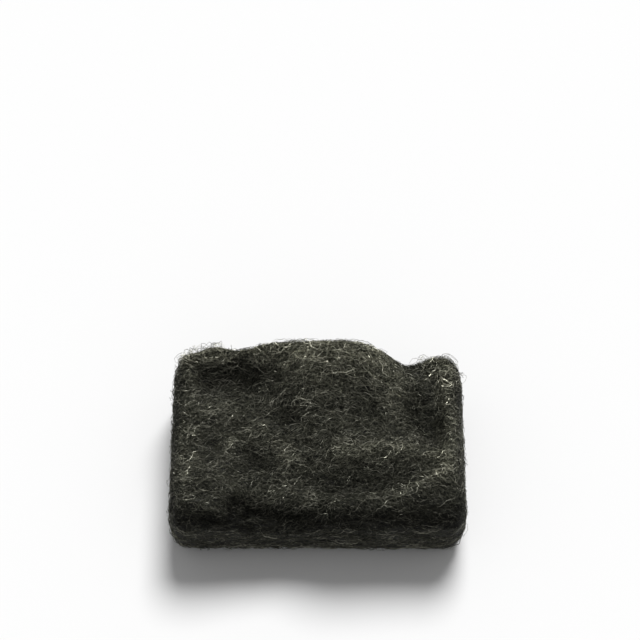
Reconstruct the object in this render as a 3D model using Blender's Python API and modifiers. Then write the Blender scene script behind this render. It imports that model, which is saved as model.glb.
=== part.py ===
"""Steel wool bundle: one springy mass of tangled steel fibre, pressed into a block.

The wool was packed loose into a rectangular space, so its underside is flat, its four flanks are
upright with soft edges, and its top has swelled up into folds: a large mound at the rear, a few
lower folds in front of it, and hollows where the wool folded away from itself.

The model is one closed solid of that outer shape. A coarse cage is cut from a cube, rounded and
lifted into the folds, and Subdivision Surface smooths it.

Units are metres and +Z is up. The origin is at the middle of the underside, +X runs along the
longest side, and +Y points to the rear, where the mound is.
"""

import math
from typing import NamedTuple

import bmesh
import bpy
from mathutils import Vector

# Driving dimensions
WIDTH = 0.245            # left to right
DEPTH = 0.151            # front to rear
LEVEL = 0.066            # height of the top where it has no fold
CORNER = 0.013           # radius of the four upright corners, and how far in the soft edges reach
UPPER_EDGE = 0.013       # how far the soft edge around the top reaches down
LOWER_EDGE = 0.009       # how far the tighter edge around the underside reaches up
FLANK_SWELL = 0.002      # how far the flanks stand out at half height
FOLD_ROOT = 0.25         # height, as a share of the block's, where the flanks begin to follow the folds

# The cage
CUTS_X = 18
CUTS_Y = 11
CUTS_Z = 4
SMOOTHING_LEVEL = 1

OBJECT_NAME = "steel_wool_bundle"
WOOL_COLOUR = (0.033, 0.034, 0.027, 1.0)
WOOL_METALLIC = 0.85
WOOL_ROUGHNESS = 0.55


class Fold(NamedTuple):
    """A fold of the top: a soft ridge, or a hollow where rise is negative, along a bent line."""

    line: tuple[tuple[float, float], ...]
    rise: float
    reach: float


REAR_MOUND = Fold(((-0.018, 0.076), (0.018, 0.074)), 0.038, 0.035)
MOUND_BODY = Fold(((-0.006, 0.046), (0.044, 0.042)), 0.010, 0.028)
REAR_RISE = Fold(((-0.118, 0.074), (0.118, 0.074)), 0.007, 0.022)
MOUND_APRON = Fold(((0.004, 0.018), (0.058, 0.006)), 0.010, 0.034)
RIGHT_SHOULDER = Fold(((0.046, 0.066), (0.072, 0.036)), 0.012, 0.018)
MIDDLE_RIDGE = Fold(((0.015, -0.014), (0.100, -0.018)), 0.006, 0.011)
RIGHT_RIM = Fold(((0.112, 0.050), (0.113, -0.015)), 0.007, 0.011)
FRONT_ARC = Fold(((-0.015, -0.054), (0.025, -0.061), (0.065, -0.054), (0.104, -0.034)), 0.009, 0.010)
LEFT_FOLD = Fold(((-0.070, 0.000), (-0.046, 0.008), (-0.029, -0.013), (-0.010, -0.034)), 0.006, 0.010)
HOLLOW_BROW = Fold(((-0.102, 0.054), (-0.080, 0.046), (-0.052, 0.044)), 0.007, 0.011)
REAR_LEFT_TUFT = Fold(((-0.108, 0.074), (-0.088, 0.075)), 0.024, 0.012)
REAR_LEFT_RIM = Fold(((-0.080, 0.077), (-0.045, 0.077)), 0.024, 0.012)
REAR_RIGHT_RIM = Fold(((0.092, 0.074), (0.107, 0.070)), 0.012, 0.012)
LEFT_HOLLOW = Fold(((-0.084, 0.057), (-0.056, 0.057)), -0.024, 0.012)
RIGHT_POCKET = Fold(((0.074, 0.076), (0.080, 0.070)), -0.020, 0.010)
RIGHT_VALLEY = Fold(((0.085, 0.025), (0.101, 0.000)), -0.010, 0.010)
MIDDLE_VALLEY = Fold(((-0.020, -0.041), (0.030, -0.045), (0.075, -0.034)), -0.006, 0.010)
FRONT_DIP = Fold(((-0.062, -0.060), (-0.018, -0.068)), -0.012, 0.013)
LEFT_DIP = Fold(((-0.052, -0.022), (-0.046, -0.034)), -0.005, 0.016)

FOLDS = (
    REAR_MOUND, MOUND_BODY, MOUND_APRON, REAR_RISE, RIGHT_SHOULDER, MIDDLE_RIDGE, RIGHT_RIM,
    FRONT_ARC, LEFT_FOLD, HOLLOW_BROW, REAR_LEFT_TUFT, REAR_LEFT_RIM, REAR_RIGHT_RIM, LEFT_HOLLOW,
    RIGHT_POCKET, RIGHT_VALLEY, MIDDLE_VALLEY, FRONT_DIP, LEFT_DIP,
)


def clamp(value, low, high):
    """Keep a value between two limits."""
    return max(low, min(high, value))


def smooth_step(value):
    """Ease from 0 to 1 as the value goes from 0 to 1."""
    t = clamp(value, 0.0, 1.0)
    return t * t * (3.0 - 2.0 * t)


def distance_to_line(x, y, line):
    """The distance in plan from a point to a bent line."""
    point = Vector((x, y))
    nearest = math.inf
    for start, end in zip(line, line[1:]):
        a = Vector(start)
        run = Vector(end) - a
        along = clamp((point - a).dot(run) / run.length_squared, 0.0, 1.0)
        nearest = min(nearest, (point - a - along * run).length)
    return nearest


def relief(x, y):
    """How far the folds lift or sink the top at a place in plan."""
    return sum(fold.rise * math.exp(-(distance_to_line(x, y, fold.line) / fold.reach) ** 2) for fold in FOLDS)


def cut_along(bm, axis, cuts):
    """Cut every cage edge that runs along one axis into equal lengths."""
    edges = [e for e in bm.edges if abs(e.verts[0].co[axis] - e.verts[1].co[axis]) > 0.5]
    bmesh.ops.subdivide_edges(bm, edges=edges, cuts=cuts, use_grid_fill=True)


def block_point(unit):
    """Move a point of the unit cage onto the block, round its edges, and lift it into the folds."""
    half = Vector((WIDTH, DEPTH, LEVEL)) / 2
    radii = Vector((CORNER, CORNER, UPPER_EDGE if unit.z > 0.0 else LOWER_EDGE))
    place = Vector(2.0 * unit[axis] * half[axis] for axis in range(3))
    core = Vector(clamp(place[axis], radii[axis] - half[axis], half[axis] - radii[axis]) for axis in range(3))

    # beyond the core the block is a quarter of an ellipsoid, so a square shell becomes a round one
    shell = Vector((place[axis] - core[axis]) / radii[axis] for axis in range(3))
    if shell.length > 0.0:
        shell *= max(abs(part) for part in shell) / shell.length
    point = core + Vector(shell[axis] * radii[axis] for axis in range(3))

    height = point.z / LEVEL + 0.5
    swell = FLANK_SWELL * math.sin(math.pi * height)
    x = point.x + 2.0 * unit.x * swell
    y = point.y + 2.0 * unit.y * swell
    lift = relief(x, y) * smooth_step((height - FOLD_ROOT) / (1.0 - FOLD_ROOT))
    return Vector((x, y, point.z + half.z + lift))


def make_cage():
    """Cut a cube into the cage, shape it, and return its mesh."""
    bm = bmesh.new()
    bmesh.ops.create_cube(bm, size=1.0)
    for axis, cuts in enumerate((CUTS_X, CUTS_Y, CUTS_Z)):
        cut_along(bm, axis, cuts)
    for vert in bm.verts:
        vert.co = block_point(vert.co)
    mesh = bpy.data.meshes.new(OBJECT_NAME)
    bm.to_mesh(mesh)
    bm.free()
    mesh.shade_smooth()
    return mesh


def make_material():
    """The dull dark steel of the fibres."""
    material = bpy.data.materials.new("dark_steel_fibre")
    material.use_nodes = True
    shader = material.node_tree.nodes["Principled BSDF"]
    shader.inputs["Base Color"].default_value = WOOL_COLOUR
    shader.inputs["Metallic"].default_value = WOOL_METALLIC
    shader.inputs["Roughness"].default_value = WOOL_ROUGHNESS
    return material


def centre_on_origin(obj):
    """Shift the cage so that the smoothed block stands on the origin by the middle of its underside."""
    bpy.context.view_layer.update()
    smoothed = obj.evaluated_get(bpy.context.evaluated_depsgraph_get())
    corners = [Vector(corner) for corner in smoothed.bound_box]
    low = Vector(min(corner[axis] for corner in corners) for axis in range(3))
    high = Vector(max(corner[axis] for corner in corners) for axis in range(3))
    middle = (low + high) / 2
    for vert in obj.data.vertices:
        vert.co -= Vector((middle.x, middle.y, low.z))


def main():
    """Clear the scene and build the bundle."""
    for old in list(bpy.data.objects):
        bpy.data.objects.remove(old)
    collection = bpy.data.collections.new("steel_wool_bundle_parts")
    bpy.context.scene.collection.children.link(collection)

    bundle = bpy.data.objects.new(OBJECT_NAME, make_cage())
    collection.objects.link(bundle)
    bundle.data.materials.append(make_material())
    smoothing = bundle.modifiers.new("Soften", "SUBSURF")
    smoothing.levels = SMOOTHING_LEVEL
    smoothing.render_levels = SMOOTHING_LEVEL
    centre_on_origin(bundle)


if __name__ == "__main__":
    main()
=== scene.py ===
"""Steel wool bundle: one springy mass of tangled, crinkled steel fibre.

The bundle is a dark felted core with layers of separate fibres laid over it. The fibres are drawn
by Geometry Nodes: each one passes through a seed on the core, runs along the folds with many kinks,
hugs the surface and is swept into a thin three-sided shaving. Loose curls, strands on the crests and
tufts on the rim stand proud of the rest.

Units are metres, +Z is up, and the origin is at the middle of the underside, as in the frame.
"""

import logging
import math
from dataclasses import dataclass, field
from enum import Enum, IntEnum
from functools import partial
from typing import Any, Sequence

import bmesh
import bpy
import numpy as np
from mathutils import Matrix, Vector


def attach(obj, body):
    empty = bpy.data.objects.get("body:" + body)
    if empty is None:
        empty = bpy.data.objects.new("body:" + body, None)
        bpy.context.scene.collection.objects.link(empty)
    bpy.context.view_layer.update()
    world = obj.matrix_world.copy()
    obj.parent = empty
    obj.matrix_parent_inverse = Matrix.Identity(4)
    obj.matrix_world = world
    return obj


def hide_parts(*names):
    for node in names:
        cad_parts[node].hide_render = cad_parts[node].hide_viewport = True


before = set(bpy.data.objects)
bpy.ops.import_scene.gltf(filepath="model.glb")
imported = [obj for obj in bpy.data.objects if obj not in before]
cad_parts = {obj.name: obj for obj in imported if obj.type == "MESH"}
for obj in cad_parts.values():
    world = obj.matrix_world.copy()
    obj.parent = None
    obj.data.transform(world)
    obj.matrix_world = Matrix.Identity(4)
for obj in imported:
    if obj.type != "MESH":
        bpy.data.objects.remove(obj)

LOG = logging.getLogger("steel_wool")
NODE = "steel_wool_bundle"
BODY = "root"
TONE = "tone"
FLOW = "flow"
COVER = "cover"
# painted light and shade, stored on the core and carried on to the fibres that grow from it
PAINTED_LIGHT = "painted_light"
TUFTS = "tufts"
BAKE_MAP = "OFBake"
FLOOR_LEVEL = -0.0002           # just under the underside, so that the two never meet in one plane
LOWEST_FIBRE = 0.00015
LOWEST_CORE = 0.0003
SHAVING_SIDES = 3               # corners of a fibre's cross-section
ANYWHERE = -1.0                 # a limit that nothing on the bundle reaches
MERGE_DISTANCE = 1e-6
UP = (0.0, 0.0, 1.0)

Colour = tuple[float, float, float]


# ---- Node graphs ----

class Value:
    """A number or colour that travels along a node graph's link, and takes part in sums."""

    def __init__(self, graph: "Graph", socket: bpy.types.NodeSocket) -> None:
        """Wrap one output socket.

        Args:
            graph: The graph that the socket's node is in.
            socket: The output socket.
        """
        self.graph = graph
        self.socket = socket

    def _sum(self, operation: str, first: Any, second: Any) -> "Value":
        """Add a Math node that joins two values."""
        return self.graph.node("ShaderNodeMath", {"operation": operation}, {0: first, 1: second}).out(0)

    def __add__(self, other: Any) -> "Value":
        """self + other."""
        return self._sum("ADD", self, other)

    __radd__ = __add__

    def __sub__(self, other: Any) -> "Value":
        """self - other."""
        return self._sum("SUBTRACT", self, other)

    def __rsub__(self, other: Any) -> "Value":
        """other - self."""
        return self._sum("SUBTRACT", other, self)

    def __mul__(self, other: Any) -> "Value":
        """self * other."""
        return self._sum("MULTIPLY", self, other)

    __rmul__ = __mul__

    def __truediv__(self, other: Any) -> "Value":
        """self / other."""
        return self._sum("DIVIDE", self, other)

    def __pow__(self, other: Any) -> "Value":
        """self ** other."""
        return self._sum("POWER", self, other)

    def call(self, operation: str, other: Any = 0.0) -> "Value":
        """Put the value through any other operation of the Math node, such as COSINE."""
        return self._sum(operation, self, other)


class Made:
    """A node that has been added, whose outputs are read as values."""

    def __init__(self, graph: "Graph", node: bpy.types.Node) -> None:
        """Keep a node with the graph it belongs to."""
        self.graph = graph
        self.node = node

    def out(self, key: int | str) -> Value:
        """Read an output, past the outputs that are switched off.

        Args:
            key: The output's place or its name.

        Returns:
            The output.
        """
        if isinstance(key, int):
            return Value(self.graph, self.node.outputs[key])
        return Value(self.graph, next(s for s in self.node.outputs if s.name == key and s.enabled))


class Graph:
    """Builds the nodes of a material or of a Geometry Nodes tree."""

    def __init__(self, tree: bpy.types.NodeTree) -> None:
        """Start on a tree, which is emptied first."""
        self.tree = tree
        tree.nodes.clear()

    def node(self, kind: str, settings: dict[str, Any] | None = None,
             values: dict[int | str, Any] | None = None) -> Made:
        """Add a node.

        Args:
            kind: The node's type.
            settings: Its properties, which are set first. A "ramp" entry holds a ramp's stops.
            values: A number, a colour or a Value for each socket, by place or by name.

        Returns:
            The node, ready for its outputs to be read.
        """
        node = self.tree.nodes.new(kind)
        for name, setting in (settings or {}).items():
            if name == "ramp":
                self._set_ramp(node.color_ramp, setting)
            else:
                setattr(node, name, setting)
        for key, value in (values or {}).items():
            if isinstance(key, int):
                socket = node.inputs[key]
            else:
                socket = next(s for s in node.inputs if s.name == key and s.enabled)
            if isinstance(value, Value):
                self.tree.links.new(value.socket, socket)
            else:
                socket.default_value = value
        return Made(self, node)

    @staticmethod
    def _set_ramp(ramp: bpy.types.ColorRamp, stops: Sequence[tuple[float, Colour]]) -> None:
        """Give a ramp its stops.

        Args:
            ramp: The ramp.
            stops: The place and the colour of each stop.
        """
        while len(ramp.elements) < len(stops):
            ramp.elements.new(1.0)
        for element, (place, colour) in zip(ramp.elements, stops):
            element.position = place
            element.color = (*colour, 1.0)

    def stored(self, name: str, kind: str = "FLOAT") -> Value:
        """Read an attribute that is stored on the geometry, in a Geometry Nodes tree."""
        return self.node("GeometryNodeInputNamedAttribute", {"data_type": kind}, {"Name": name}).out(0)

    def vector(self, operation: str, *values: Any, scale: Any = None) -> Value:
        """Add a Vector Math node.

        Args:
            operation: The node's operation.
            values: Its vectors.
            scale: Its scale, for the operation that has one.

        Returns:
            The result, which is a number for DOT_PRODUCT and LENGTH.
        """
        sockets: dict[int | str, Any] = dict(enumerate(values))
        if scale is not None:
            sockets["Scale"] = scale
        made = self.node("ShaderNodeVectorMath", {"operation": operation}, sockets)
        return made.out("Value" if operation in ("DOT_PRODUCT", "LENGTH") else "Vector")


# ---- Finishes ----

def painted_shade_of(graph: Graph, painted_light: Value) -> Value:
    """Turn the painted light and shade of a place into the grey that its colour is multiplied by.

    Args:
        graph: The material's graph.
        painted_light: From 0, painted shade deep in a fold, to 1, painted light on a crest.

    Returns:
        The grey, as a colour.
    """
    # painted shade darkens below the middle stop, painted light brightens above it
    stops = ((0.0, (0.20, 0.20, 0.20)), (0.5, (0.80, 0.80, 0.80)), (1.0, (1.70, 1.69, 1.66)))
    return graph.node("ShaderNodeValToRGB", {"ramp": stops}, {0: painted_light}).out("Color")


@dataclass(frozen=True)
class FibreFinish:
    """The finish of the drawn fibres: bare carbon steel with a thin dark oil film.

    Attributes:
        name: The material's name.
        dark: Colour of a fibre that has kept its dark film.
        mid: Colour of most fibres.
        bright: Colour of a freshly cut fibre.
        bright_share: How much of the tone range is bright, from 0 to 1.
        film_range: The tones at which a fibre is wholly dark, and at which its film has gone.
        roughness: Roughness of a bright and of a dark fibre.
        film_scale: How fine the patches of film are along a fibre, per metre.
        film_contrast: How much the film varies a fibre's tone along its length.
        patch_scale: How fine the patches are where whole tangles are brighter or duller, per metre.
        patch_contrast: How much a tangle's tone differs from its neighbours'.
        metallic: How metallic the fibres are.
    """

    name: str
    dark: Colour = (0.014, 0.015, 0.011)
    mid: Colour = (0.172, 0.173, 0.134)
    bright: Colour = (0.56, 0.55, 0.455)
    bright_share: float = 0.22
    film_range: tuple[float, float] = (0.06, 0.54)
    roughness: tuple[float, float] = (0.48, 0.64)
    film_scale: float = 420.0
    film_contrast: float = 1.3
    patch_scale: float = 55.0
    patch_contrast: float = 0.5
    metallic: float = 0.9

    def material(self) -> bpy.types.Material:
        """Build the material.

        Returns:
            A metallic material whose tone changes from fibre to fibre and along each fibre, multiplied by
            the painted light and shade.
        """
        material = bpy.data.materials.new(self.name)
        material.use_nodes = True
        graph = Graph(material.node_tree)
        tone = graph.node("ShaderNodeAttribute", {"attribute_name": TONE}).out("Fac")
        place = graph.node("ShaderNodeTexCoord").out("Object")
        film = graph.node("ShaderNodeTexNoise", {"noise_dimensions": "3D"}, {
            "Vector": place, "Scale": self.film_scale, "Detail": 2.0, "Roughness": 0.6}).out("Fac")
        patch = graph.node("ShaderNodeTexNoise", {"noise_dimensions": "3D"}, {
            "Vector": place, "Scale": self.patch_scale, "Detail": 2.0, "Roughness": 0.5}).out("Fac")
        level = tone + (film - 0.5) * self.film_contrast + (patch - 0.5) * self.patch_contrast
        filmed, bare = self.film_range
        stops = (
            (filmed, self.dark), (bare, self.mid), (1.0 - self.bright_share, self.mid), (1.0, self.bright))
        colour = graph.node("ShaderNodeValToRGB", {"ramp": stops}, {0: level}).out("Color")
        # painted light and shade: the colour is multiplied by a grey that is darker in folds, towards the
        # front and on the flanks, and lighter on crests and high places
        light = graph.node("ShaderNodeAttribute", {"attribute_name": PAINTED_LIGHT}).out("Fac")
        colour = graph.node("ShaderNodeMix", {"data_type": "RGBA", "blend_type": "MULTIPLY"}, {
            "Factor": 1.0, "A": colour, "B": painted_shade_of(graph, light)}).out("Result")
        gloss, dull = self.roughness
        rough = graph.node("ShaderNodeMapRange", {"clamp": True}, {
            "Value": level, "From Min": 0.0, "From Max": 1.0, "To Min": dull, "To Max": gloss}).out(0)
        shader = graph.node("ShaderNodeBsdfPrincipled", None, {
            "Base Color": colour, "Roughness": rough, "Metallic": self.metallic})
        graph.node("ShaderNodeOutputMaterial", None, {"Surface": shader.out("BSDF")})
        return material


@dataclass(frozen=True)
class FeltFinish:
    """The finish of the core: fibres packed too close to tell apart, seen as fine curly strands.

    Attributes:
        name: The material's name.
        shade: Colour down between the strands.
        strand: Colour of a strand.
        scales: How fine each set of strands is, per metre.
        thickness: How wide a strand is, as a share of the noise's range.
        relief: How far the strands stand up, in metres.
        stretch: Scale of the pattern from left to right, where less than 1 draws the strands out.
        fading: How much fainter each finer set of strands is than the set before it.
        clump_scale: How fine the clumps are where the strands show more or less, per metre.
        roughness: Roughness of the core.
        metallic: How metallic the core is.
    """

    name: str
    shade: Colour = (0.006, 0.0065, 0.005)
    strand: Colour = (0.140, 0.141, 0.108)
    scales: tuple[float, ...] = (260.0, 370.0, 520.0, 740.0)
    thickness: float = 0.030
    relief: float = 0.0005
    stretch: float = 0.45
    fading: float = 0.12
    clump_scale: float = 45.0
    roughness: float = 0.6
    metallic: float = 0.6

    def material(self) -> bpy.types.Material:
        """Build the material.

        Returns:
            A dull metallic material with thin curling strands in its colour and its bump, its colour
            multiplied by the painted light and shade.
        """
        material = bpy.data.materials.new(self.name)
        material.use_nodes = True
        graph = Graph(material.node_tree)
        place = graph.node("ShaderNodeTexCoord").out("Object")
        web: Value | None = None
        for index, scale in enumerate(self.scales):
            moved = graph.node("ShaderNodeMapping", None, {
                "Vector": place, "Location": (0.37 * index, 0.61 * index, 0.23 * index),
                "Rotation": (0.3 * index, 0.2 * index, 0.35 * (index - 1.5)),
                "Scale": (self.stretch, 1.0, 1.0)}).out("Vector")
            noise = graph.node("ShaderNodeTexNoise", {"noise_dimensions": "3D"}, {
                "Vector": moved, "Scale": scale, "Detail": 1.5, "Distortion": 0.6}).out("Fac")
            line = graph.node("ShaderNodeMapRange", {"clamp": True, "interpolation_type": "SMOOTHSTEP"}, {
                "Value": (noise - 0.5).call("ABSOLUTE"), "From Min": self.thickness, "From Max": 0.0,
                "To Min": 0.0, "To Max": 1.0 - self.fading * index}).out(0)
            web = line if web is None else web.call("MAXIMUM", line)
        clumps = graph.node("ShaderNodeTexNoise", {"noise_dimensions": "3D"}, {
            "Vector": place, "Scale": self.clump_scale, "Detail": 3.0}).out("Fac")
        lit = web * (clumps * 0.9 + 0.25)
        colour = graph.node("ShaderNodeMix", {"data_type": "RGBA"}, {
            "Factor": lit, "A": (*self.shade, 1.0), "B": (*self.strand, 1.0)}).out("Result")
        # painted light and shade: the colour is multiplied by a grey that is darker in folds, towards the
        # front and on the flanks, and lighter on crests and high places
        light = graph.node("ShaderNodeAttribute", {"attribute_name": PAINTED_LIGHT}).out("Fac")
        colour = graph.node("ShaderNodeMix", {"data_type": "RGBA", "blend_type": "MULTIPLY"}, {
            "Factor": 1.0, "A": colour, "B": painted_shade_of(graph, light)}).out("Result")
        bump = graph.node("ShaderNodeBump", None, {
            "Strength": 0.9, "Distance": self.relief, "Height": web}).out("Normal")
        shader = graph.node("ShaderNodeBsdfPrincipled", None, {
            "Base Color": colour, "Roughness": self.roughness, "Metallic": self.metallic, "Normal": bump})
        graph.node("ShaderNodeOutputMaterial", None, {"Surface": shader.out("BSDF")})
        return material


# ---- The core ----

@dataclass(frozen=True)
class Crease:
    """A fine fold of the wool along a bent line in plan: a ridge, or a pit where rise is negative."""

    line: tuple[tuple[float, float], ...]
    rise: float
    reach: float

    def lift(self, places: np.ndarray) -> np.ndarray:
        """How far the crease lifts each place.

        Args:
            places: Positions in plan, one to a row.

        Returns:
            The lift of each, in metres.
        """
        nearest = np.full(len(places), np.inf)
        points = np.array(self.line)
        for start, end in zip(points, points[1:]):
            run = end - start
            along = np.clip((places - start) @ run / (run @ run), 0.0, 1.0)
            nearest = np.minimum(nearest, np.linalg.norm(places - start - along[:, None] * run, axis=1))
        return self.rise * np.exp(-(nearest / self.reach) ** 2)


@dataclass
class Core:
    """The felted body of the bundle, which the fibres lie on.

    Attributes:
        voxel: Size of the core's faces.
        inset: How far the core lies inside the CAD solid, to leave room for the fibres.
        foot: Height over which the core eases out to the CAD solid's underside.
        lump: Height of the small lumps that bunched fibres make.
        lump_sizes: Width of the larger and of the smaller lumps.
        fold_depth: How far a place stands over its surroundings for full painted light, and under them for
            full painted shade.
        blur_cell: Side of the cells that the height of the surroundings is averaged in.
        blur_rounds: How far around a place its surroundings reach, in rounds of averaging.
        rise_limits: The least and the most that a fold counts towards the painted light and shade.
        painted_front_shade: Places from front to rear, and how much painted shade each gets.
        painted_height_light: Heights, and how much painted light each gets.
        flank_painted_light: The painted shade on the flanks and the underside, one level for all.
        cover_by_slope: How far a place faces up, and how thickly fibres cover it there.
        creases: The fine folds of the top.
        tufts: Where springy strands stand up off the rim, with how many of them as the rise.
    """

    voxel: float = 0.0018
    inset: float = 0.0010
    foot: float = 0.006
    lump: float = 0.0004
    lump_sizes: tuple[float, float] = (0.011, 0.0055)
    fold_depth: float = 0.015
    blur_cell: float = 0.004
    blur_rounds: int = 14
    rise_limits: tuple[float, float] = (-0.18, 0.5)
    painted_front_shade: tuple[tuple[float, ...], ...] = ((-0.078, -0.062, -0.046, -0.030), (0.76, 0.50, 0.08, 0.0))
    painted_height_light: tuple[tuple[float, ...], ...] = ((0.066, 0.085, 0.105), (0.0, 0.12, 0.23))
    flank_painted_light: float = 0.36
    cover_by_slope: tuple[tuple[float, ...], ...] = ((-0.9, -0.3, 0.2, 0.6), (0.22, 0.40, 0.50, 1.0))
    creases: tuple[Crease, ...] = (
        Crease(((0.015, -0.016), (0.060, -0.014), (0.102, -0.018)), 0.0036, 0.0060),
        Crease(((-0.018, -0.054), (0.020, -0.060), (0.062, -0.053), (0.104, -0.034)), 0.0030, 0.0055),
        Crease(((-0.016, -0.044), (0.030, -0.048), (0.072, -0.036)), -0.0015, 0.0070),
        Crease(((-0.074, -0.004), (-0.046, 0.008), (-0.029, -0.013), (-0.008, -0.036)), 0.0016, 0.0060),
        Crease(((-0.062, -0.014), (-0.040, -0.028)), -0.0016, 0.0120),
        Crease(((0.078, 0.034), (0.090, 0.014), (0.101, -0.004)), -0.0012, 0.0070),
        Crease(((0.110, 0.056), (0.113, 0.010), (0.110, -0.030)), 0.0040, 0.0070),
        Crease(((-0.070, -0.058), (-0.030, -0.066), (0.000, -0.069)), -0.0060, 0.0090),
        Crease(((-0.108, -0.056), (-0.080, -0.062)), 0.0035, 0.0070),
        Crease(((-0.110, 0.000), (-0.086, -0.006)), -0.0025, 0.0080),
        Crease(((-0.092, 0.028), (-0.062, 0.024)), 0.0030, 0.0100),
        Crease(((-0.034, 0.018), (-0.022, 0.016)), -0.0026, 0.0060),
        Crease(((0.000, 0.022), (0.018, 0.020)), -0.0026, 0.0060),
        Crease(((-0.010, -0.006), (-0.002, -0.008)), -0.0024, 0.0050),
        Crease(((-0.106, 0.067), (-0.094, 0.061)), -0.0080, 0.0060),
        Crease(((-0.074, 0.056), (-0.054, 0.058)), 0.0030, 0.0080),
        Crease(((0.074, 0.072), (0.084, 0.070)), -0.0040, 0.0060),
    )
    tufts: tuple[Crease, ...] = (
        Crease(((-0.112, 0.072), (-0.090, 0.073)), 1.0, 0.0065),
        Crease(((-0.090, 0.074), (-0.070, 0.068)), 0.45, 0.0045),
        Crease(((0.086, 0.072), (0.110, 0.068), (0.118, 0.050)), 0.6, 0.0045),
    )

    def build(self, finish: FeltFinish) -> bpy.types.Object:
        """Model the core from the CAD solid's outer shape, and lay its fine folds and flow on it.

        Args:
            finish: The finish of the core.

        Returns:
            The finished piece.
        """
        mesh = self._remeshed()
        self._sculpt(mesh)
        self._chart(mesh)
        mesh.shade_smooth()
        mesh.materials.append(finish.material())
        piece = bpy.data.objects.new("felted_core", mesh)
        bpy.context.scene.collection.objects.link(piece)
        return piece

    def _remeshed(self) -> bpy.types.Mesh:
        """Copy the CAD solid, merge its loose triangles and give it even, fine faces.

        Returns:
            The new mesh.
        """
        bm = bmesh.new()
        bm.from_mesh(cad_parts[NODE].data)
        bmesh.ops.remove_doubles(bm, verts=bm.verts, dist=MERGE_DISTANCE)
        coarse = bpy.data.meshes.new("coarse_core")
        bm.to_mesh(coarse)
        bm.free()
        holder = bpy.data.objects.new("coarse_core", coarse)
        bpy.context.scene.collection.objects.link(holder)
        remesh = holder.modifiers.new("Even faces", "REMESH")
        remesh.mode = "VOXEL"
        remesh.voxel_size = self.voxel
        smooth = holder.modifiers.new("Smooth", "SMOOTH")
        smooth.factor = 0.5
        smooth.iterations = 6
        fine = plain_mesh(holder, "felted_core")
        bpy.data.objects.remove(holder)
        bpy.data.meshes.remove(coarse)
        return fine

    def _sculpt(self, mesh: bpy.types.Mesh) -> None:
        """Sink the core a little, press in its fine folds, and raise its small lumps.

        Args:
            mesh: The core's mesh.
        """
        points = read_vectors(mesh.vertices, "co")
        normals = read_vectors(mesh.vertices, "normal")
        facing_up = np.clip(normals[:, 2], 0.0, 1.0)
        fold = sum(crease.lift(points[:, :2]) for crease in self.creases)
        large, small = self.lump_sizes
        lumps = wavy_noise(points, 1.0 / large, seed=3) + 0.5 * wavy_noise(points, 1.0 / small, seed=9)
        clear_of_floor = np.clip(points[:, 2] / self.foot, 0.0, 1.0)
        move = (self.lump * lumps - self.inset) * clear_of_floor
        points = points + normals * move[:, None]
        points[:, 2] += fold * facing_up
        points[:, 2] = np.maximum(points[:, 2], LOWEST_CORE)
        mesh.vertices.foreach_set("co", points.ravel())
        mesh.update()

    def _chart(self, mesh: bpy.types.Mesh) -> None:
        """Store which way the fibres run over the core, how thickly they cover it, and the painted light and
        shade on it.

        Args:
            mesh: The core's mesh.
        """
        points = read_vectors(mesh.vertices, "co")
        normals = read_vectors(mesh.vertices, "normal")
        cover = np.interp(normals[:, 2], *self.cover_by_slope)
        tufts = sum(tuft.lift(points[:, :2]) for tuft in self.tufts) * (normals[:, 2] > 0.2)
        flow = mesh.attributes.new(FLOW, "FLOAT_VECTOR", "POINT")
        flow.data.foreach_set("vector", drape(normals).ravel())
        for name, values in ((COVER, cover), (TUFTS, tufts), (PAINTED_LIGHT, self._painted_light(mesh, normals))):
            mesh.attributes.new(name, "FLOAT", "POINT").data.foreach_set("value", values)

    def _painted_light(self, mesh: bpy.types.Mesh, normals: np.ndarray) -> np.ndarray:
        """The painted light and shade at each point of the core.

        Args:
            mesh: The core's mesh.
            normals: Which way it faces at each point, one to a row.

        Returns:
            From 0, painted shade in a fold, to 1, painted light on a crest, for each point.
        """
        points = read_vectors(mesh.vertices, "co")
        on_top = normals[:, 2] > 0.3
        low = points[:, :2].min(axis=0)
        places = ((points[:, :2] - low) / self.blur_cell).astype(int)
        shape = tuple(places.max(axis=0) + 1)
        total, count = np.zeros(shape), np.zeros(shape)
        np.add.at(total, tuple(places[on_top].T), points[on_top, 2])
        np.add.at(count, tuple(places[on_top].T), 1.0)
        for _ in range(self.blur_rounds):
            total, count = spread(total), spread(count)
        around = total / np.maximum(count, TINY)
        # painted shade in folds and pits, more painted shade towards the front and on the flanks, painted
        # light on ridges and high places
        rise = points[:, 2] - around[tuple(places.T)]
        shade = np.interp(points[:, 1], *self.painted_front_shade)
        shine = np.interp(points[:, 2], *self.painted_height_light)
        painted_light = 0.5 + np.clip(rise / self.fold_depth, *self.rise_limits) + shine - shade
        return np.where(on_top, np.clip(painted_light, 0.0, 1.0), self.flank_painted_light)


# ---- The fibres ----

class Region(Enum):
    """Where on the core a layer's fibres are seeded."""

    ALL = "all over, thickest on top"
    TOP = "the top only"
    CRESTS = "along the crests of the folds"
    TUFTS = "where springy strands stand up off the rim"


class Draw(IntEnum):
    """What each random number is drawn for, as its distance from the layer's seed."""

    LENGTH = 1
    TURN = 2
    SECOND_TURN = 3
    BEND = 4
    KINK = 5
    HEIGHT = 6
    HOP = 7
    TONE = 8
    GAUGE = 9


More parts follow.
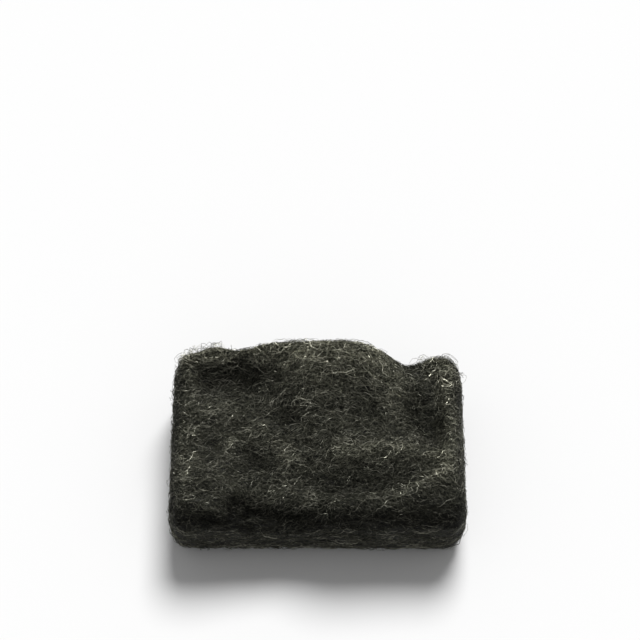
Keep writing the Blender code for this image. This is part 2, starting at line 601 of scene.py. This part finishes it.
@dataclass
class FibreLayer:
    """One layer of fibres over the core, all drawn by one Geometry Nodes tree.

    Attributes:
        name: The piece's name.
        density: Fibres for each square metre of fully covered core.
        length: Length of the longest fibre.
        joints: Points along each fibre.
        gauge: Distance from a fibre's middle to its corners.
        spread: How far a fibre may turn from the flow of the folds, in radians.
        curl: The most that a fibre bends along its whole length, in radians.
        crinkle: The most that a fibre kinks to either side at each point, in radians.
        wander: The most that a fibre strays from its bearing at each point, in radians.
        lift: How high the fibres lie over the core, from the least to the most.
        bounce: How far a fibre rises and dips along its length.
        seed: Starts the layer's random numbers.
        region: Where the fibres are seeded.
        shortest: Length of the shortest fibre, as a share of the longest.
        tuck: How much of its lift a fibre has lost at its ends.
        taper: How strongly a fibre thins towards its ends.
        gauge_range: How thin the thinnest and how thick the thickest fibre is, as shares of the gauge.
        upright: How far the core faces up at least where the top's fibres are seeded.
        crest_painted_light: The painted light on the core where crest strands begin, and where they are
            thickest.
    """

    name: str
    density: float
    length: float
    joints: int
    gauge: float
    spread: float
    curl: float
    crinkle: float
    wander: float
    lift: tuple[float, float]
    bounce: float
    seed: int
    region: Region = Region.ALL
    shortest: float = 0.45
    tuck: float = 0.9
    taper: float = 2.4
    gauge_range: tuple[float, float] = (0.65, 1.15)
    upright: float = 0.35
    crest_painted_light: tuple[float, float] = (0.6, 0.95)

    def build(self, core: bpy.types.Object, finish: FibreFinish) -> bpy.types.Object:
        """Draw the layer's fibres.

        Args:
            core: The core they lie on.
            finish: The finish of the fibres.

        Returns:
            The finished piece, a plain mesh.
        """
        holder = bpy.data.objects.new(self.name, core.data.copy())
        bpy.context.scene.collection.objects.link(holder)
        tree = self._tree()
        grower = holder.modifiers.new("Fibres", "NODES")
        grower.node_group = tree
        given = {
            "Density": self.density, "Length": self.length, "Joints": self.joints, "Gauge": self.gauge,
            "Spread": self.spread, "Curl": self.curl, "Crinkle": self.crinkle, "Wander": self.wander,
            "Least Lift": self.lift[0], "Most Lift": self.lift[1], "Bounce": self.bounce,
            "Seed": self.seed, "Finish": finish.material(),
        }
        for item in tree.interface.items_tree:
            if item.name in given:
                grower[item.identifier] = given[item.name]
        mesh = plain_mesh(holder, self.name)
        bpy.data.objects.remove(holder)
        for name in (FLOW, COVER, TUFTS):
            mesh.attributes.remove(mesh.attributes[name])
        lay_bake_map(mesh, self.joints)
        piece = bpy.data.objects.new(self.name, mesh)
        bpy.context.scene.collection.objects.link(piece)
        return piece

    def _tree(self) -> bpy.types.NodeTree:
        """Build the tree that seeds, draws and sweeps the fibres.

        Returns:
            The tree, with a named input for each of the layer's sizes.
        """
        tree = bpy.data.node_groups.new(f"{self.name}_tree", "GeometryNodeTree")
        kinds = {"Density": "NodeSocketFloat", "Length": "NodeSocketFloat", "Joints": "NodeSocketInt",
                 "Gauge": "NodeSocketFloat", "Spread": "NodeSocketFloat", "Curl": "NodeSocketFloat",
                 "Crinkle": "NodeSocketFloat", "Wander": "NodeSocketFloat", "Least Lift": "NodeSocketFloat",
                 "Most Lift": "NodeSocketFloat", "Bounce": "NodeSocketFloat", "Seed": "NodeSocketInt",
                 "Finish": "NodeSocketMaterial"}
        tree.interface.new_socket("Core", in_out="INPUT", socket_type="NodeSocketGeometry")
        for name, kind in kinds.items():
            tree.interface.new_socket(name, in_out="INPUT", socket_type=kind)
        tree.interface.new_socket("Fibres", in_out="OUTPUT", socket_type="NodeSocketGeometry")
        graph = Graph(tree)
        given = graph.node("NodeGroupInput")

        seeds, root, start, normal, flow = self._seeds(graph, given)
        joints = given.out("Joints")
        copies = graph.node("GeometryNodeDuplicateElements", {"domain": "POINT"}, {
            "Geometry": seeds, "Amount": joints})
        step = copies.out("Duplicate Index")
        chance = partial(self._chance, graph, given, root)

        # a fibre sets off near the flow of the folds, bends one way, and kinks at every point
        share = step / (joints - 1)
        reach = given.out("Length") * chance(self.shortest, 1.0, Draw.LENGTH)
        turns = chance(-1.0, 1.0, Draw.TURN) + chance(-1.0, 1.0, Draw.SECOND_TURN)
        turn = turns * 0.5 * given.out("Spread")
        bend = chance(-1.0, 1.0, Draw.BEND) * given.out("Curl") * (share - 0.5)
        kink = self._chance(graph, given, root * joints + step, -1.0, 1.0, Draw.KINK)
        walk = graph.node("GeometryNodeAccumulateField", {"data_type": "FLOAT", "domain": "POINT"}, {
            "Value": kink * given.out("Wander"), "Group ID": root}).out("Leading")
        heading = turn + bend + walk + kink * given.out("Crinkle")
        side = graph.vector("CROSS_PRODUCT", normal, flow)
        forward = graph.vector("SCALE", flow, scale=heading.call("COSINE"))
        sideways = graph.vector("SCALE", side, scale=heading.call("SINE"))
        stride = graph.vector("SCALE", graph.vector("ADD", forward, sideways), scale=reach / joints)
        path = graph.node("GeometryNodeAccumulateField", {"data_type": "FLOAT_VECTOR", "domain": "POINT"}, {
            "Value": stride, "Group ID": root})
        halfway = graph.vector("SCALE", path.out("Total"), scale=0.5)
        drawn = graph.vector("ADD", start, graph.vector("SUBTRACT", path.out("Trailing"), halfway))

        # it hugs the core, rising and dipping, with its ends tucked in
        near = graph.node("GeometryNodeProximity", {"target_element": "FACES"}, {
            0: given.out("Core"), "Sample Position": drawn}).out("Position")
        facing = graph.node("GeometryNodeSampleNearestSurface", {"data_type": "FLOAT_VECTOR"}, {
            "Mesh": given.out("Core"), "Value": graph.node("GeometryNodeInputNormal").out(0),
            "Sample Position": drawn}).out("Value")
        facing = graph.vector("NORMALIZE", facing)
        level = chance(0.0, 1.0, Draw.HEIGHT)
        height = given.out("Least Lift") + (given.out("Most Lift") - given.out("Least Lift")) * level * level
        hop = self._chance(graph, given, root * joints + step, -1.0, 1.0, Draw.HOP)
        tuck = ((share - 0.5).call("ABSOLUTE") ** 3.0) * 8.0
        height = height * (1.0 - tuck * self.tuck) + hop * given.out("Bounce")
        placed = graph.vector("ADD", near, graph.vector("SCALE", facing, scale=height))
        placed = graph.vector("MAXIMUM", placed, (ANYWHERE, ANYWHERE, LOWEST_FIBRE))

        tone = graph.node("GeometryNodeStoreNamedAttribute", {"data_type": "FLOAT", "domain": "POINT"}, {
            "Geometry": copies.out("Geometry"), "Name": TONE, "Value": chance(0.0, 1.0, Draw.TONE)}).out(0)
        moved = graph.node("GeometryNodeSetPosition", None, {"Geometry": tone, "Position": placed}).out(0)
        strands = graph.node("GeometryNodePointsToCurves", None, {
            "Points": moved, "Curve Group ID": root, "Weight": step}).out(0)
        ends = graph.node("GeometryNodeSplineParameter").out("Factor")
        taper = 1.0 - (ends - 0.5).call("ABSOLUTE") ** 2.0 * self.taper
        gauge = given.out("Gauge") * chance(*self.gauge_range, Draw.GAUGE)
        shaving = graph.node("GeometryNodeCurvePrimitiveCircle", {"mode": "RADIUS"}, {
            "Resolution": SHAVING_SIDES, "Radius": 1.0}).out("Curve")
        swept = graph.node("GeometryNodeCurveToMesh", None, {
            "Curve": strands, "Profile Curve": shaving, "Scale": gauge * taper, "Fill Caps": True}).out(0)
        flat = graph.node("GeometryNodeSetShadeSmooth", None, {
            "Geometry": swept, "Shade Smooth": False}).out(0)
        real = graph.node("GeometryNodeRealizeInstances", None, {0: flat}).out(0)
        dressed = graph.node("GeometryNodeSetMaterial", None, {
            "Geometry": real, "Material": given.out("Finish")}).out(0)
        graph.node("NodeGroupOutput", None, {0: dressed})
        return tree

    def _seeds(self, graph: Graph, given: Made) -> tuple[Value, Value, Value, Value, Value]:
        """Scatter the seeds on the core, and keep what each fibre needs to know of its own.

        Args:
            graph: The layer's graph.
            given: The node that holds the tree's inputs.

        Returns:
            The seeds, and each one's number, place, the way the core faces there, and the flow.
        """
        cover = graph.stored(COVER)
        if self.region is Region.TOP:
            up = graph.node("ShaderNodeSeparateXYZ", None, {
                0: graph.node("GeometryNodeInputNormal").out(0)}).out("Z")
            cover = cover * up.call("GREATER_THAN", self.upright)
        if self.region is Region.CRESTS:
            least, most = self.crest_painted_light
            cover = cover * graph.node("ShaderNodeMapRange", {"clamp": True}, {
                "Value": graph.stored(PAINTED_LIGHT), "From Min": least, "From Max": most}).out(0)
        if self.region is Region.TUFTS:
            cover = graph.stored(TUFTS)
        scatter = graph.node("GeometryNodeDistributePointsOnFaces", {"distribute_method": "RANDOM"}, {
            "Mesh": given.out("Core"), "Density": cover * given.out("Density"), "Seed": given.out("Seed")})
        points = scatter.out("Points")
        flow = graph.stored(FLOW, "FLOAT_VECTOR")
        kept = []
        for kind, value in (("INT", graph.node("GeometryNodeInputIndex").out(0)),
                            ("VECTOR", graph.node("GeometryNodeInputPosition").out(0)),
                            ("VECTOR", scatter.out("Normal")), ("VECTOR", flow)):
            capture = self._keep(graph, points, kind, value)
            points = capture.out("Geometry")
            kept.append(capture.out(1))
        return (points, *kept)

    @staticmethod
    def _keep(graph: Graph, points: Value, kind: str, value: Value) -> Made:
        """Keep a value on each point, so that it stays the same however the point moves.

        Args:
            graph: The layer's graph.
            points: The points.
            kind: The value's type.
            value: What is kept.

        Returns:
            The node, whose first output is the points and whose second is the kept value.
        """
        made = graph.node("GeometryNodeCaptureAttribute", {"domain": "POINT"})
        made.node.capture_items.new(kind, "Kept")
        graph.tree.links.new(points.socket, made.node.inputs[0])
        graph.tree.links.new(value.socket, made.node.inputs[1])
        return made

    @staticmethod
    def _chance(graph: Graph, given: Made, whose: Value, low: float, high: float, draw: Draw) -> Value:
        """A random number for each fibre, or for each point of it.

        Args:
            graph: The layer's graph.
            given: The node that holds the tree's inputs.
            whose: The number that tells the fibres or the points apart.
            low: The least it can be.
            high: The most it can be.
            draw: What it is for.

        Returns:
            The number.
        """
        return graph.node("FunctionNodeRandomValue", {"data_type": "FLOAT"}, {
            "Min": low, "Max": high, "ID": whose, "Seed": given.out("Seed") + draw}).out("Value")


# ---- Shared mesh work ----

WAVE_SPAN = (0.6, 1.4)          # how much a wave's frequency may differ from the one asked for
WAVE_HEIGHT = 0.7               # brings the sum of the waves to roughly -1 to 1
FLANK_TO_TOP = (0.40, 0.75)     # how far a flank and the top face up, as the flow changes over
ACROSS_PULL = 0.5               # how strongly the top's fibres run from left to right
DOWNHILL_PULL = 3.5             # how strongly they run down a slope that faces left or right
TINY = 1e-9                     # keeps a division clear of zero
CELL_MARGINS = (0.06, 0.04)     # margins beside and at the ends of a fibre's cell in the bake map


def plain_mesh(obj: bpy.types.Object, name: str) -> bpy.types.Mesh:
    """Turn an object's evaluated shape into a plain mesh, and take its modifiers off.

    Args:
        obj: The object with its modifiers.
        name: The new mesh's name.

    Returns:
        The plain mesh.
    """
    bpy.context.view_layer.update()
    evaluated = obj.evaluated_get(bpy.context.evaluated_depsgraph_get())
    mesh = bpy.data.meshes.new_from_object(evaluated)
    mesh.name = name
    obj.modifiers.clear()
    return mesh


def read_vectors(items: bpy.types.bpy_prop_collection, name: str) -> np.ndarray:
    """Read a vector of every item.

    Args:
        items: A mesh's vertices, or others.
        name: Which of their vectors is read.

    Returns:
        The vectors, one to a row.
    """
    rows = np.empty(len(items) * 3)
    items.foreach_get(name, rows)
    return rows.reshape(-1, 3)


def wavy_noise(points: np.ndarray, frequency: float, seed: int, waves: int = 24) -> np.ndarray:
    """Smooth random waves through space, roughly from -1 to 1.

    Args:
        points: Where they are wanted, one to a row.
        frequency: Waves for each metre.
        seed: Starts the random directions.
        waves: How many plane waves are added up.

    Returns:
        The height of the waves at each point.
    """
    chance = np.random.default_rng(seed)
    headings = chance.normal(size=(waves, 3))
    headings /= np.linalg.norm(headings, axis=1, keepdims=True)
    headings *= frequency * math.tau * chance.uniform(*WAVE_SPAN, size=(waves, 1))
    phases = chance.uniform(0.0, math.tau, size=waves)
    return np.cos(points @ headings.T + phases).sum(axis=1) * math.sqrt(2.0 / waves) * WAVE_HEIGHT


def spread(grid: np.ndarray) -> np.ndarray:
    """Average each cell of a grid with its neighbours.

    Args:
        grid: The grid.

    Returns:
        The smoother grid.
    """
    padded = np.pad(grid, 1, mode="edge")
    along = padded[:-2] + 2.0 * padded[1:-1] + padded[2:]
    return (along[:, :-2] + 2.0 * along[:, 1:-1] + along[:, 2:]) / 16.0


def drape(normals: np.ndarray) -> np.ndarray:
    """Which way the fibres run: over the top like combed hair, and level round the flanks.

    Args:
        normals: Which way the surface faces at each place, one to a row.

    Returns:
        The direction of the fibres at each place, along the surface.
    """
    across = np.array((1.0, 0.0, 0.0)) - normals * normals[:, :1]
    downhill = normals * normals[:, 2:] - np.array(UP)
    level = np.cross(normals, np.array(UP))
    level *= np.where(level[:, :1] < 0.0, -1.0, 1.0)
    top = np.interp(normals[:, 2], FLANK_TO_TOP, (0.0, 1.0))[:, None]
    combed = ACROSS_PULL * across + DOWNHILL_PULL * normals[:, :1] * downhill
    flow = top * combed + (1.0 - top) * level
    return flow / (np.linalg.norm(flow, axis=1, keepdims=True) + TINY)


def lay_bake_map(mesh: bpy.types.Mesh, joints: int) -> None:
    """Give every fibre a cell of its own on the map that its colours are baked to.

    A cell is a fibre unrolled: its sides stand next to each other, and its length runs up them from
    one end cap to the other.

    Args:
        mesh: A layer of fibres, each a closed shaving of its own.
        joints: Points along each fibre.
    """
    if not mesh.polygons:
        return
    corners = np.empty(len(mesh.loops), dtype=int)
    starts = np.empty(len(mesh.polygons), dtype=int)
    totals = np.empty(len(mesh.polygons), dtype=int)
    mesh.loops.foreach_get("vertex_index", corners)
    mesh.polygons.foreach_get("loop_start", starts)
    mesh.polygons.foreach_get("loop_total", totals)
    fibre, ring = np.divmod(corners, SHAVING_SIDES * joints)
    joint, side = np.divmod(ring, SHAVING_SIDES)

    # a side of the shaving lies between two of its corners, so their sum tells which side it is
    pair = np.repeat(np.add.reduceat(side, starts) // 2, totals)
    strip = np.array((0, 0, 2, 1))[pair]
    on_side = np.repeat(totals, totals) > SHAVING_SIDES
    across = np.where(on_side, strip + (side != strip), side * SHAVING_SIDES / 2.0)
    cap = np.where(joint > 0, joints + 0.2, 0.1) + 0.7 * (side == 1)
    along = np.where(on_side, joint + 1.0, cap)

    columns = math.ceil(math.sqrt(2.0 * (fibre.max() + 1)))
    rows = math.ceil((fibre.max() + 1) / columns)
    row, column = np.divmod(fibre, columns)
    margin_u, margin_v = CELL_MARGINS
    u = (column + margin_u + (1.0 - 2.0 * margin_u) * across / SHAVING_SIDES) / columns
    v = (row + margin_v + (1.0 - 2.0 * margin_v) * along / (joints + 1)) / rows
    layer = mesh.uv_layers.new(name=BAKE_MAP)
    layer.uv.foreach_set("vector", np.stack((u, v), axis=1).ravel())


def adopt(piece: bpy.types.Object) -> None:
    """Tell the frame that a piece rides with the bundle and stands for its solid.

    Args:
        piece: The finished piece.
    """
    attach(piece, BODY)
    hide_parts(NODE)


# ---- The bundle ----

@dataclass
class Bundle:
    """The whole bundle: the core and its layers of fibres."""

    core: Core = field(default_factory=Core)
    felt: FeltFinish = FeltFinish("felted_steel")
    layers: tuple[tuple[FibreLayer, FibreFinish], ...] = (
        (FibreLayer("matted_fibres", density=55000.0, length=0.030, joints=8, gauge=0.00016, spread=0.7,
                    curl=0.8, crinkle=0.7, wander=0.20, lift=(-0.0004, 0.0008), bounce=0.0005, seed=11),
         FibreFinish("matted_steel", bright_share=0.10)),
        (FibreLayer("crossing_fibres", density=55000.0, length=0.030, joints=8, gauge=0.00018, spread=1.3,
                    curl=1.0, crinkle=0.7, wander=0.25, lift=(0.0000, 0.0014), bounce=0.0006, seed=23),
         FibreFinish("crossing_steel", bright_share=0.18)),
        (FibreLayer("upper_fibres", density=55000.0, length=0.032, joints=8, gauge=0.00023, spread=0.6,
                    curl=0.9, crinkle=0.6, wander=0.22, lift=(0.0002, 0.0020), bounce=0.0007, seed=37),
         FibreFinish("upper_steel", bright_share=0.24)),
        (FibreLayer("top_fibres", density=88000.0, length=0.028, joints=8, gauge=0.00022, spread=0.6,
                    curl=1.0, crinkle=0.7, wander=0.25, lift=(0.0000, 0.0022), bounce=0.0008, seed=53,
                    region=Region.TOP),
         FibreFinish("top_steel", bright_share=0.26)),
        (FibreLayer("fine_fibres", density=52000.0, length=0.026, joints=8, gauge=0.00014, spread=0.9,
                    curl=1.2, crinkle=0.8, wander=0.25, lift=(0.0004, 0.0026), bounce=0.0008, seed=61,
                    region=Region.TOP),
         FibreFinish("fine_steel", bright_share=0.26)),
        (FibreLayer("loose_curls", density=8000.0, length=0.028, joints=12, gauge=0.00014, spread=2.6,
                    curl=1.6, crinkle=0.8, wander=0.40, lift=(0.0004, 0.0044), bounce=0.0009, seed=71),
         FibreFinish("loose_steel", bright_share=0.16)),
        (FibreLayer("crest_strands", density=75000.0, length=0.030, joints=10, gauge=0.00021, spread=0.8,
                    curl=1.0, crinkle=0.5, wander=0.25, lift=(0.0004, 0.0036), bounce=0.0009, seed=89,
                    region=Region.CRESTS),
         FibreFinish("crest_steel", bright_share=0.34)),
        (FibreLayer("tuft_strands", density=260000.0, length=0.022, joints=10, gauge=0.00018, spread=1.6,
                    curl=2.6, crinkle=0.6, wander=0.35, lift=(0.0004, 0.0070), bounce=0.0012, seed=97,
                    region=Region.TUFTS),
         FibreFinish("tuft_steel", bright_share=0.60)),
    )

    def build(self) -> None:
        """Build every piece, hand each to the frame, and report it."""
        core = self.core.build(self.felt)
        for layer, finish in self.layers:
            piece = layer.build(core, finish)
            adopt(piece)
            LOG.info("%s: %d triangles", piece.name, triangles(piece))
        for name in (FLOW, COVER, TUFTS):
            core.data.attributes.remove(core.data.attributes[name])
        adopt(core)
        LOG.info("%s: %d triangles", core.name, triangles(core))


def triangles(piece: bpy.types.Object) -> int:
    """Count a plain mesh's triangles."""
    return len(piece.data.loops) - 2 * len(piece.data.polygons)


# ---- The studio ----

@dataclass(frozen=True)
class Lamp:
    """A broad soft light, far enough off to light the floor evenly.

    Attributes:
        name: The light's name.
        bearing: Which way it stands from the bundle, in degrees round from +X.
        height: How far above the horizon it stands, in degrees.
        softness: How wide it looks from the bundle, in degrees.
        strength: Its strength.
    """

    name: str
    bearing: float
    height: float
    softness: float
    strength: float

    def hang(self) -> None:
        """Put the light in the scene, shining towards the bundle."""
        light = bpy.data.lights.new(self.name, "SUN")
        light.angle = math.radians(self.softness)
        light.energy = self.strength
        round_from_x, up = math.radians(self.bearing), math.radians(self.height)
        level = math.cos(up)
        towards = Vector((level * math.cos(round_from_x), level * math.sin(round_from_x), math.sin(up)))
        lamp = bpy.data.objects.new(self.name, light)
        lamp.location = towards
        lamp.rotation_euler = (-towards).to_track_quat("-Z", "Y").to_euler()
        bpy.context.scene.collection.objects.link(lamp)


@dataclass(frozen=True)
class Studio:
    """The pale floor, the soft lights and the camera.

    Attributes:
        floor_side: Side of the floor.
        floor_tone: Colour of the floor.
        surround: Strength of the even light from all round.
        elevation: How far above the horizon the camera stands, in degrees.
        distance: From the camera to what it looks at.
        aim: What the camera looks at.
        lens: Focal length in millimetres.
        sensor: Width of the camera's sensor in millimetres.
        sight: How far the camera sees.
        lamps: The lights.
    """

    floor_side: float = 8.0
    floor_tone: Colour = (0.86, 0.86, 0.86)
    surround: float = 0.30
    elevation: float = 61.0
    distance: float = 1.728
    aim: tuple[float, float, float] = (0.002, 0.1125, 0.070)
    lens: float = 112.6
    sensor: float = 36.0
    sight: float = 20.0
    lamps: tuple[Lamp, ...] = (
        Lamp("key_light", 75.0, 52.0, 28.0, 3.4),
    )

    def build(self) -> None:
        """Set up the floor, the surroundings, the lights and the camera."""
        self._floor()
        self._surroundings()
        for lamp in self.lamps:
            lamp.hang()
        self._camera()

    def _floor(self) -> None:
        """Lay the plain pale floor just under the bundle."""
        bm = bmesh.new()
        bmesh.ops.create_grid(bm, x_segments=1, y_segments=1, size=self.floor_side / 2,
                              matrix=Matrix.Translation((0.0, 0.0, FLOOR_LEVEL)))
        mesh = bpy.data.meshes.new("floor")
        bm.to_mesh(mesh)
        bm.free()
        floor = bpy.data.objects.new("floor", mesh)
        material = bpy.data.materials.new("pale_floor")
        material.use_nodes = True
        graph = Graph(material.node_tree)
        shader = graph.node("ShaderNodeBsdfPrincipled", None, {
            "Base Color": (*self.floor_tone, 1.0), "Roughness": 0.9, "Specular IOR Level": 0.1})
        graph.node("ShaderNodeOutputMaterial", None, {"Surface": shader.out("BSDF")})
        mesh.materials.append(material)
        bpy.context.scene.collection.objects.link(floor)

    def _surroundings(self) -> None:
        """Light the scene evenly from all round, and show colours as they are."""
        world = bpy.data.worlds.new("studio")
        world.use_nodes = True
        graph = Graph(world.node_tree)
        glow = graph.node("ShaderNodeBackground", None, {
            "Color": (1.0, 1.0, 1.0, 1.0), "Strength": self.surround})
        graph.node("ShaderNodeOutputWorld", None, {"Surface": glow.out(0)})
        bpy.context.scene.world = world
        bpy.context.scene.view_settings.view_transform = "Standard"

    def _camera(self) -> None:
        """Stand the camera in front of the bundle, looking down on it."""
        data = bpy.data.cameras.new("camera")
        data.lens = self.lens
        data.sensor_width = self.sensor
        camera = bpy.data.objects.new("camera", data)
        tilt = math.radians(self.elevation)
        back = Vector((0.0, -math.cos(tilt), math.sin(tilt)))
        camera.location = Vector(self.aim) + back * self.distance
        camera.rotation_euler = (-back).to_track_quat("-Z", "Y").to_euler()
        data.clip_end = self.sight
        bpy.context.scene.collection.objects.link(camera)
        bpy.context.scene.camera = camera


def main() -> None:
    """Build the bundle and its studio."""
    logging.basicConfig(level=logging.INFO, format="%(name)s: %(message)s")
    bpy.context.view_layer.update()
    Bundle().build()
    Studio().build()


if __name__ == "__main__":
    main()
